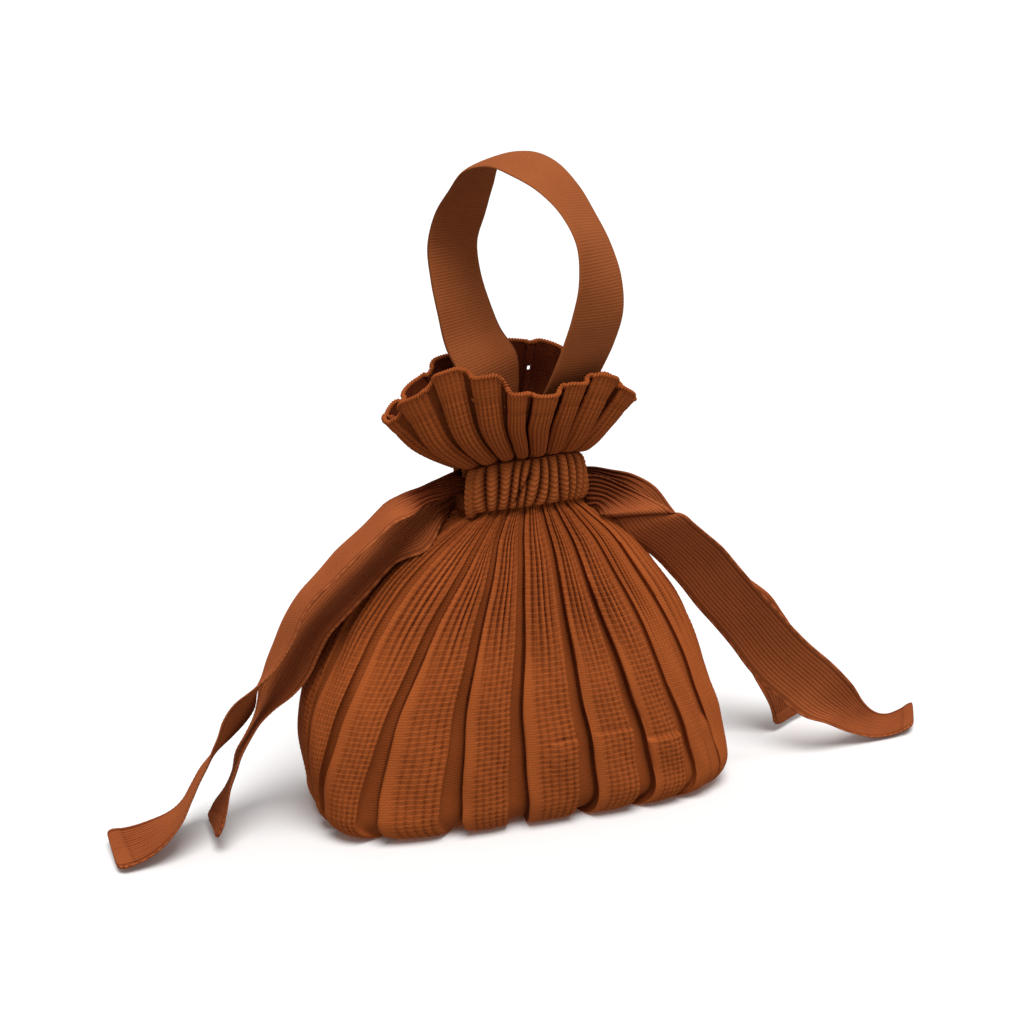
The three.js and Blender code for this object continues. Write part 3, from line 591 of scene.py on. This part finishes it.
row_cut = row_cut * (0.8 + 0.2 * np.sin(1.7 * course + 2.3 * pleat + 0.8 * panel_column))
drawn_in = smoothstep(72, 125, wall_z)
turned_under = 1 - smoothstep(6, 38, wall_z)
open_stitch = stitch_line * row_cut * (1 - 0.7 * drawn_in)
ditch = (0.34 * (1 - drawn_in) * (waffle > 0.3) + 0.30 * turned_under) * groove
ditch = ditch + 1.5 * drawn_in * drawn_groove + 0.16 * open_stitch
ditch = ditch + (0.50 - 0.20 * drawn_in - 0.16 * turned_under) * waffle * row_cut
sway = 0.7 * np.sin(wall_z / 21 + 1.9 * pleat)
sway = sway + 0.4 * np.sin(wall_z / 9 + 3.1 * pleat + 0.25 * panel_column)
sway = sway * panel * smoothstep(6, 24, wall_z) * (1 - smoothstep(110, 150, wall_z))
bulge = np.zeros_like(ditch)
crease_line = np.zeros_like(ditch)
panel_share = panel_column / (PANEL_COLUMNS - 1)
for valley, first, level, height in CREASES:
    creased = panel * (pleat == valley) * smoothstep(first - 0.1, first + 0.1, panel_share)
    below = smoothstep(level + 0.7, level - 0.7, wall_z) * smoothstep(level - 24, level - 4, wall_z)
    bulge += height * creased * below
    crease_line += creased * np.exp(-((wall_z - level - 1.0) / 0.9) ** 2)
wall = wall + outward(wall) * (sway + bulge - ditch - 0.2 * crease_line)[..., None]
row_shift = 0.15 * np.sin(0.9 * panel_column + 1.3 * course + 2.1 * pleat)
wall[..., 2] += row_shift * waffle * smoothstep(8, 20, wall_z)
wall[..., 2] = np.maximum(wall[..., 2], 0)
# Painted shade in the channels: deeper with the fold, darkest in the slit under the next panel's edge, and
# scaled by how deep the fold is sewn.
channel_place, channel_depth = CHANNEL_COLUMNS.T
channel_painted_shade = 0.12 + 0.22 * channel_depth + 0.5 * (channel_place > 0.9)
fold_painted_shade = np.tile(np.concatenate([channel_painted_shade, np.zeros(PANEL_COLUMNS)]), PLEATS)
fold_painted_shade = fold_painted_shade * np.repeat(PLEAT_TABLE[:, 10], COLUMNS)
# Painted shade in the waffle's rows and grooves, the drawn-in grooves, the open stitches and along the
# creases, on top of the channels' painted shade.
wall_painted_shade = (0.02 + (0.28 - 0.06 * drawn_in) * waffle * row_cut + 0.24 * groove * (waffle > 0.3)
            + 0.75 * drawn_in * drawn_groove + 0.16 * open_stitch + 0.25 * crease_line + fold_painted_shade)

inner_at = np.linspace(NECK_TOP, 0, INNER_ROWS)
inner_side = pleated(inner_at, INNER_INSET, 0.2)
inner_side[..., 2] += WALL * smoothstep(30, 0, levels(inner_at)[0])[:, None]
shell = np.concatenate([wall, inner_side])
# the inner side takes an even painted shade
shell_painted_shade = np.concatenate([wall_painted_shade, np.full(inner_side.shape[:2], 0.5)])
wall_run = front_length(wall_at)
shell_run = np.concatenate([wall_run, wall_run[-1] + np.arange(INNER_ROWS) * INNER_SPAN])
pleat_run = CHANNEL_SPAN + PANEL_WALES * WALE
channel_run = (panel_column + len(CHANNEL_COLUMNS)) * CHANNEL_STEP
column_run = np.where(panel, CHANNEL_SPAN + panel_column * WALE / 3, channel_run)
column_run = column_run + np.repeat(np.arange(PLEATS), COLUMNS) * pleat_run
column_run = np.append(column_run, PLEATS * pleat_run)

body_knit = knit("waffle_knit", "#b05a2a", "#3c1004", course=1.4, wale=1.5, loop_height=0.12)


def wall_half(name, first, count):
    """A half of the wall: count columns from the first one on, closed to the middle of the base
    below and inside."""
    chosen = np.arange(first, first + count + 1)
    columns = chosen % shell.shape[1]
    points = shell[:, columns]
    rows, wide = points.shape[:2]
    faces, corner_rows, corner_columns = grid_faces(rows, wide, False)
    corner_map = np.stack([column_run[chosen - first][corner_columns], shell_run[corner_rows]], -1)
    here = np.arange(wide - 1)
    centre = np.full(wide - 1, rows * wide)
    under = np.stack([centre, here + 1, here], -1)
    inside = np.stack([centre + 1, (rows - 1) * wide + here, (rows - 1) * wide + here + 1], -1)
    fans = np.concatenate([under, inside])
    centres = np.array([[SECTIONS[0, 4], 0, 0], [SECTIONS[0, 4], 0, WALL]])
    # the centres under the base and inside take the same painted shade
    painted_shade = np.append(shell_painted_shade[:, columns].ravel(), [0.5, 0.5])
    piece = cloth_piece(name, np.concatenate([points.reshape(-1, 3), centres]), [faces, fans],
                        [corner_map, np.zeros(fans.shape + (2,))], painted_shade, body_knit)
    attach(piece, "root")
    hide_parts("bag_body")


wall_half("front_pleated_wall", 4 * COLUMNS, 10 * COLUMNS)
wall_half("back_pleated_wall", 14 * COLUMNS, 8 * COLUMNS)

# Ruffle
# The same knit above the casings, flared out in ribbed lobes that end at a whip-stitched edge.
# The pleats' channels run out in eyelets a finger's breadth below it.
RUFFLE_WALL = 1.1
RUFFLE_HEM = 10.5
RUFFLE_ROW = 2.2
EDGING_RADIUS = 1.15
EDGING_STITCH = 1.5
EDGING_STATIONS = 2400
EDGING_SIDES = 8
RUFFLE_ROWS = 66
RUFFLE_GAPS = [3, 6, 9, 12, 15, 18]
EYELET_COLUMNS = (4, 6)

ruffle_fine = np.linspace(NECK_TOP - 0.2, RIM, 1500)
ruffle_length = front_length(ruffle_fine)
ruffle_run = np.linspace(0, ruffle_length[-1], RUFFLE_ROWS)
ruffle_at = np.interp(ruffle_run, ruffle_length, ruffle_fine)
to_rim = (ruffle_length[-1] - ruffle_run)[:, None]
hem_share = smoothstep(RUFFLE_HEM + 1, RUFFLE_HEM - 1, to_rim)
hem_seam = np.exp(-((to_rim - RUFFLE_HEM) / 1.2) ** 2)
tube = np.sin(math.pi * np.clip((panel_column + 0.5) / PANEL_COLUMNS, 0, 1)) ** 0.5 * panel
up_lobe = np.clip((ruffle_run[:, None] - 3) / (ruffle_length[-1] - RUFFLE_HEM - 3), 0, 1)
swell = 0.3 + 0.7 * np.sin(math.pi * up_lobe) ** 0.8
ruffle_groove = 0.5 - 0.5 * np.cos(2 * math.pi * ruffle_run / RUFFLE_ROW)[:, None]
rib_gap = np.isin(panel_column, RUFFLE_GAPS)
relief = 1.8 * swell * tube - 0.12 * hem_seam * panel
relief = relief - (0.75 * rib_gap + 0.14 * ruffle_groove * panel) * (1 - 0.3 * hem_share)
ruffle_sheet = pleated(ruffle_at, 0, 1)
ruffle_out = unit(sum(np.roll(outward(ruffle_sheet), step, axis=1) for step in range(-2, 3)))
outside = ruffle_sheet + ruffle_out * relief[..., None]
inside = ruffle_sheet - ruffle_out * (RUFFLE_WALL * np.where(panel, 1.0, 0.4))[:, None]
ruffle_shell = np.concatenate([outside, inside[::-1]])
rows_in_all, columns_in_all = ruffle_shell.shape[:2]
ruffle_faces, ruffle_corner_rows, ruffle_corner_columns = grid_faces(rows_in_all, columns_in_all, True)
ruffle_v = np.concatenate([ruffle_run, 2 * ruffle_run[-1] - ruffle_run[::-1]])
ruffle_map = np.stack([column_run[ruffle_corner_columns], ruffle_v[ruffle_corner_rows]], -1)

eyelet_rows = np.flatnonzero(np.abs(to_rim[:, 0] - RUFFLE_HEM - 1.5) < 1.0)
low_row, high_row = eyelet_rows[0], eyelet_rows[-1]
left_column, right_column = EYELET_COLUMNS
sheet_row = np.minimum(ruffle_corner_rows.min(1), rows_in_all - 1 - ruffle_corner_rows.max(1))
sheet_column = ruffle_corner_columns[:, 0] % COLUMNS
holed = (sheet_row >= low_row) & (sheet_row < high_row)
holed = holed & (sheet_column >= left_column) & (sheet_column < right_column)
hole_edge = ([(low_row, c) for c in range(left_column, right_column)]
             + [(r, right_column) for r in range(low_row, high_row)]
             + [(high_row, c) for c in range(right_column, left_column, -1)]
             + [(r, left_column) for r in range(high_row, low_row, -1)])
ring_rows, ring_columns = np.array(hole_edge).T
ring_columns = ring_columns + np.arange(PLEATS)[:, None] * COLUMNS
outer_ring = ring_rows * columns_in_all + ring_columns
inner_ring = (rows_in_all - 1 - ring_rows) * columns_in_all + ring_columns
next_inner, next_outer = np.roll(inner_ring, -1, 1), np.roll(outer_ring, -1, 1)
eyelet_walls = np.stack([outer_ring, inner_ring, next_inner, next_outer], -1).reshape(-1, 4)
bottom_row = np.arange(columns_in_all)
bottom_next = (bottom_row + 1) % columns_in_all
top_of_inside = (rows_in_all - 1) * columns_in_all
closing = np.stack([bottom_next, bottom_row, top_of_inside + bottom_row, top_of_inside + bottom_next], -1)
extra = np.concatenate([eyelet_walls[:, ::-1], closing])
# Painted shade between the tubes, in the rows' grooves and rib gaps and in the channels, and a painted
# shadow over all of the inside; the hem seam is a little darker.
painted_shade_between_tubes = 0.28 * (1 - tube) ** 2
outside_painted_shade = (-0.04 + (0.2 * ruffle_groove * panel + 0.42 * rib_gap) * (1 - 0.3 * hem_share)
               + 0.06 * hem_seam + fold_painted_shade + painted_shade_between_tubes)
inside_painted_shadow = np.full(outside_painted_shade.shape, 0.95)
ruffle = cloth_piece("ruffle", ruffle_shell.reshape(-1, 3), [ruffle_faces[~holed], extra],
                     [ruffle_map[~holed], np.zeros(extra.shape + (2,))],
                     np.concatenate([outside_painted_shade, inside_painted_shadow[::-1]]), body_knit)
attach(ruffle, "root")
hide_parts("bag_body")

rim_line = (outside[-1] + inside[-1]) / 2
rim_loop = np.concatenate([rim_line, rim_line[:1]])
rim_length = length_along(rim_loop)
rim_at = np.linspace(0, rim_length[-1], EDGING_STATIONS, endpoint=False)
rim_line = np.stack([np.interp(rim_at, rim_length, rim_loop[:, axis]) for axis in range(3)], -1)
rim_line = sum(np.roll(rim_line, step, axis=0) for step in range(-5, 6)) / 11
rim_along = unit(np.roll(rim_line, -1, axis=0) - np.roll(rim_line, 1, axis=0))
rim_side = unit(np.cross(rim_along, rim_line * [0.01, 0.01, 0] + [0, 0, 1]))
rim_up = np.cross(rim_side, rim_along)
round_angle = np.linspace(0, 2 * math.pi, EDGING_SIDES, endpoint=False)
stitches = round(rim_length[-1] / EDGING_STITCH)
lay = np.cos(2 * round_angle - 2 * math.pi * stitches * rim_at[:, None] / rim_length[-1])
edging_radius = (EDGING_RADIUS * (1 + 0.2 * lay))[..., None]
edging_points = rim_line[:, None] + edging_radius * (np.cos(round_angle)[:, None] * rim_side[:, None]
                                                     + np.sin(round_angle)[:, None] * rim_up[:, None])
edging_points = np.concatenate([edging_points, edging_points[:1]])
edging_faces, edging_rows, edging_columns = grid_faces(*edging_points.shape[:2], True)
edging_map = np.stack([edging_columns * 0.8, edging_rows * rim_length[-1] / len(rim_line)], -1)
# painted shade between the rim's twisted stitches, lighter where they stand out
edging = cloth_piece("whip_stitched_rim", edging_points.reshape(-1, 3), [edging_faces], [edging_map],
                     0.3 - 0.3 * np.concatenate([lay, lay[:1]]), body_knit)
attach(edging, "root")
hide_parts("bag_body")

# Casings
# Two strips of jersey gathered round the neck, front and back, with their edges turned in and sewn
# down, so that the ribbons run between them and the wall. Their ends stay open at the sides.
LEFT_SIDE = -0.25
RIGHT_SIDE = 0.25
CASING_INSET = 0.055
CASING_EDGES = (0.02, 0.96)
CASING_STAND = 5.4
CASING_THICK = 1.2
CASING_GATHERS = 13
CASING_HEIGHT = 22.5
CASING_ROW = 2.0
CASING_FIT = 0.5
GATHER_ROUND = 3.2
NECK_ROUND = 160.0

casing_knit = knit("gathered_jersey", "#b96230", "#3a1004", course=1.0, wale=1.2, loop_height=0.1)


def neck_points(share, rise, out):
    """Points round the neck: share of the way round, rise from the neck's lower edge to its
    upper one, and distance out from the neck's outline, all as one grid."""
    count = rise.shape[1]
    at = NECK_BOTTOM + rise
    z, wide, deep, square, x, _, _, _, _, tilt, droop, _ = levels(at.ravel())
    flat_x, flat_y = outline(wide, deep, square, np.repeat(share, count)[:, None])
    flat_x, flat_y = flat_x[:, 0], flat_y[:, 0]
    normal = unit(np.stack([flat_x / wide**2, flat_y / deep**2], -1))
    side = flat_x / wide
    height = z + tilt * side - droop * np.abs(side) ** 3
    off = normal * out.ravel()[:, None]
    flat = np.stack([x + flat_x + off[:, 0], flat_y + off[:, 1], height], -1)
    return flat.reshape(len(share), count, 3)


def section_caps(stations, columns):
    """Quads that close both ends of a section whose second half of columns runs back behind the
    first."""
    first = np.arange(columns // 2 - 1)
    start = np.stack([first, columns - 1 - first, columns - 2 - first, first + 1], -1)
    return np.concatenate([start, (stations - 1) * columns + start[:, ::-1]])


def casing(name, node, start, end, phase):
    """A gathered channel: a thin barrel in section whose cloth is drawn into round tubes that lean
    and vary in width along the neck, each ribbed across by pointed rows. The first end is plain,
    and a slanting pinch crosses the tubes near the middle."""
    stations = 270
    places = 64
    along = np.linspace(0, 1, stations)[:, None]
    share = start + (end - start) * along[:, 0]
    rise = np.linspace(0, 1, places)
    barrel = np.sin(math.pi * (0.04 + 0.92 * rise)) ** 0.55
    lean = (0.6 * np.sin(2 * math.pi * (along * 1.7 + phase)) - 0.4) * (rise - 0.5)
    lean = lean + 0.15 * np.sin(2 * math.pi * (along * 3.1 + phase)) * np.sin(math.pi * rise)
    uneven = 0.2 * np.sin(2 * math.pi * (along * 2.3 + phase))
    uneven = uneven + 0.08 * np.sin(2 * math.pi * (along * 5.1 + phase))
    count = CASING_GATHERS * along + uneven + lean
    gather = np.abs(np.sin(math.pi * count)) ** 0.8
    plain = smoothstep(0.09, 0.04, along)
    gather = gather + (0.8 - gather) * plain
    pinch = np.exp(-((count - 0.42 * CASING_GATHERS - 3.2 * (rise - 0.45)) / 0.28) ** 2)
    pinch = pinch * smoothstep(0.75, 0.5, rise) * smoothstep(0.08, 0.25, rise)
    point = 1 - np.abs(2 * (count % 1) - 1)
    loops = np.cos(2 * math.pi * (rise * CASING_HEIGHT / CASING_ROW + 0.6 * point))
    out = CASING_FIT + (CASING_STAND - CASING_FIT - 1.2) * barrel
    out = out + (GATHER_ROUND * gather - 1.3 + 0.3 * loops * gather - 1.4 * pinch) * barrel
    low, high = CASING_EDGES
    outer = neck_points(share, np.tile(low + (high - low) * rise, (stations, 1)), out)
    inner_rise = np.tile(low + 0.05 + (high - low - 0.1) * rise, (stations, 1))
    inner = neck_points(share, inner_rise, np.clip(out - CASING_THICK, 0.2, CASING_STAND - CASING_THICK))
    section = np.concatenate([outer, inner[:, ::-1]], axis=1)
    section[..., 2] -= 2.5 * plain * np.concatenate([1 - rise, rise]) ** 2
    columns = 2 * places
    faces, corner_rows, corner_columns = grid_faces(stations, columns, True)
    run = np.concatenate([rise * CASING_HEIGHT, (1 + rise) * CASING_HEIGHT, [2 * CASING_HEIGHT]])
    corner_map = np.stack([share[corner_rows] * NECK_ROUND, run[corner_columns]], -1)
    caps = section_caps(stations, columns)
    # Painted shade in the gathers' valleys, along the pinch and between the pointed rows; the inner layer
    # takes an even painted shade.
    outer_painted_shade = 0.02 + 0.9 * (1 - gather) ** 1.2 + 0.5 * pinch
    outer_painted_shade = outer_painted_shade + 0.3 * (0.5 - 0.5 * loops) * (1 - 0.6 * plain)
    painted_shade = np.concatenate([outer_painted_shade, np.full((stations, places), 0.6)], axis=1)
    piece = cloth_piece(name, section.reshape(-1, 3), [faces[:, ::-1], caps[:, ::-1]],
                        [corner_map[:, ::-1], np.zeros(caps.shape + (2,))], painted_shade, casing_knit)
    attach(piece, "root")
    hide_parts(node)


casing("front_gathered_casing", "front_casing", LEFT_SIDE + CASING_INSET, RIGHT_SIDE - CASING_INSET, 0.0)
casing("back_gathered_casing", "back_casing", RIGHT_SIDE + CASING_INSET, 1 + LEFT_SIDE - CASING_INSET, 0.4)

# Drawstrings inside the casings
# The same ribbons, bunched up to a soft rope where they run round the neck under the casings.
RUN_INSET = 0.06


def neck_run(name, node, side, low, high):
    """A bunched ribbon round the neck: a flat oval between two heights, creased along its length."""
    stations = 160
    places = 9
    share = np.linspace(side + RUN_INSET, 1 + side - RUN_INSET, stations)
    rise = np.linspace(low, high, places)
    crease = 0.25 * np.cos(np.arange(places) * math.pi)
    swell = np.sqrt(1 - np.abs(np.linspace(-0.98, 0.98, places)) ** 4)
    outer = neck_points(share, np.tile(rise, (stations, 1)), np.tile(1.6 + swell + crease, (stations, 1)))
    inner = neck_points(share, np.tile(rise, (stations, 1)), np.tile(1.6 - swell, (stations, 1)))
    section = np.concatenate([outer, inner[:, ::-1]], axis=1)
    columns = 2 * places
    faces, corner_rows, corner_columns = grid_faces(stations, columns, True)
    corner_map = np.stack([corner_columns * 1.5, share[corner_rows] * NECK_ROUND], -1)
    caps = section_caps(stations, columns)
    # the bunched ribbon takes a strong painted shade all over, for its place in shadow under the casings
    piece = cloth_piece(name, section.reshape(-1, 3), [faces[:, ::-1], caps[:, ::-1]],
                        [corner_map[:, ::-1], np.zeros(caps.shape + (2,))],
                        np.full(section.shape[:2], 0.8), ribbon_knit)
    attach(piece, "root")
    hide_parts(node)


neck_run("left_bunched_ribbon", "left_drawstring", LEFT_SIDE, 0.52, 0.87)
neck_run("right_bunched_ribbon", "right_drawstring", RIGHT_SIDE, 0.1, 0.46)

# Carrying strap
# A loop of dense flat knit, a pressed tube with rounded edges and fine rows across it, whose ends
# are sewn down inside the mouth, one at the back and one at the front.
STRAP_WIDTH = 32.0
STRAP_THICK = 2.0
STRAP_ROW = 1.5
STRAP_STATIONS = 840
STRAP_PLACES = 31
STRAP_PLANE_TURN = math.radians(33)

# reach forward in the strap's plane, z, turn of its width round the vertical, and bank
STRAP_ROUTE = [
    (-22.7, 193, 10, 0.1), (-20, 203, 7, 0.2), (-19, 213, 5, 0.3), (-20, 225, 6, 0.35),
    (-30, 238, 13, 0.2), (-36, 252, 20, 0.09), (-41, 267, 24, 0.04), (-43, 283, 24, -0.02),
    (-38, 298, 23, -0.07), (-31, 311, 31, -0.02), (-23, 323, 37, 0.11), (-7, 327, 33, 0.13),
    (8, 324, 30, 0.12), (23, 316, 34, -0.02), (35, 305, 40, -0.11), (44, 292, 41, -0.07),
    (48, 276, 32, 0), (47, 260, 22, -0.04), (42, 245, 21, -0.08), (35, 230, 23, -0.08),
    (27, 215, 23, -0.05), (21.5, 203, 21, 0), (19.6, 194, 18, 0),
]

strap_knit = knit("dense_flat_knit", "#a35a31", "#4c1a07", course=1.5, wale=1.2, loop_height=0.1)
strap_table = np.array(STRAP_ROUTE, float)
strap_middles = np.stack([strap_table[:, 0] * math.sin(STRAP_PLANE_TURN),
                          -strap_table[:, 0] * math.cos(STRAP_PLANE_TURN), strap_table[:, 1]], -1)
strap_turn = np.radians(strap_table[:, 2])
strap_across = np.stack([np.cos(strap_turn), np.sin(strap_turn), strap_table[:, 3]], -1)
strap_rows = through(np.concatenate([strap_middles, strap_across], axis=1),
                     np.linspace(0, len(strap_table) - 1, STRAP_STATIONS))
strap_middle = strap_rows[:, :3]
strap_length = length_along(strap_middle)
strap_share = np.linspace(-1, 1, STRAP_PLACES)
strap_wave = np.cos(2 * math.pi * strap_length / STRAP_ROW)[:, None] * (np.abs(strap_share) < 0.93)
strap_edge = smoothstep(0.9, 0.97, np.abs(strap_share))
strap_bend = 0.7 * (strap_share**2 - 0.4) * np.ones((STRAP_STATIONS, 1))
# painted shade in the troughs between the rows and a painted highlight along the rounded edges
strap = band("carrying_strap", strap_middle, strap_rows[:, 3:6], np.full(STRAP_STATIONS, STRAP_WIDTH),
             np.full(STRAP_STATIONS, STRAP_THICK - 0.2), strap_bend, 0.1 + 0.05 * strap_wave,
             0.12 - 0.07 * strap_wave - 0.1 * strap_edge, strap_knit, 0)
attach(strap, "root")
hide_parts("handle_strap")

# Studio
# A wide pale floor under one large soft light from above and a little in front. The floor throws
# no light back on the bag, and the light all round is dimmer from below.
FLOOR_SIZE = 40.0
SUN_AZIMUTH = math.radians(-4)
SUN_ELEVATION = math.radians(69)
SUN_STRENGTH = 2.8
SUN_ANGLE = math.radians(35)
SKY_STRENGTH = 0.46
SKY_BELOW = 0.85

floor_mesh = bpy.data.meshes.new("floor")
half = FLOOR_SIZE / 2
floor_corners = [(-half, -half, 0), (half, -half, 0), (half, half, 0), (-half, half, 0)]
floor_mesh.from_pydata(floor_corners, [], [(0, 1, 2, 3)])
floor_paint = bpy.data.materials.new("pale_floor")
floor_paint.use_nodes = True
floor_shader = floor_paint.node_tree.nodes["Principled BSDF"]
floor_shader.inputs["Base Color"].default_value = linear("#f4f3f2")
floor_shader.inputs["Roughness"].default_value = 0.9
floor_mesh.materials.append(floor_paint)
floor = bpy.data.objects.new("floor", floor_mesh)
bpy.context.collection.objects.link(floor)
floor.visible_diffuse = False

sun_data = bpy.data.lights.new("key_light", "SUN")
sun_data.energy = SUN_STRENGTH
sun_data.angle = SUN_ANGLE
sun = bpy.data.objects.new("key_light", sun_data)
towards_sun = Vector((
    math.sin(SUN_AZIMUTH) * math.cos(SUN_ELEVATION),
    -math.cos(SUN_AZIMUTH) * math.cos(SUN_ELEVATION),
    math.sin(SUN_ELEVATION),
))
sun.rotation_euler = towards_sun.to_track_quat("Z", "Y").to_euler()
bpy.context.collection.objects.link(sun)

world = bpy.data.worlds.new("studio")
world.use_nodes = True
world.node_tree.nodes["Background"].inputs["Strength"].default_value = SKY_STRENGTH
direction = add_node(world, "ShaderNodeTexCoord")
height = add_node(world, "ShaderNodeSeparateXYZ", {0: direction.outputs["Generated"]})
from_above = add_node(world, "ShaderNodeMapRange",
                      {"Value": height.outputs["Z"], "From Min": -0.05, "From Max": 0.05,
                       "To Min": SKY_BELOW})
world.node_tree.links.new(from_above.outputs[0], world.node_tree.nodes["Background"].inputs["Color"])
bpy.context.scene.world = world
bpy.context.scene.view_settings.view_transform = "Standard"
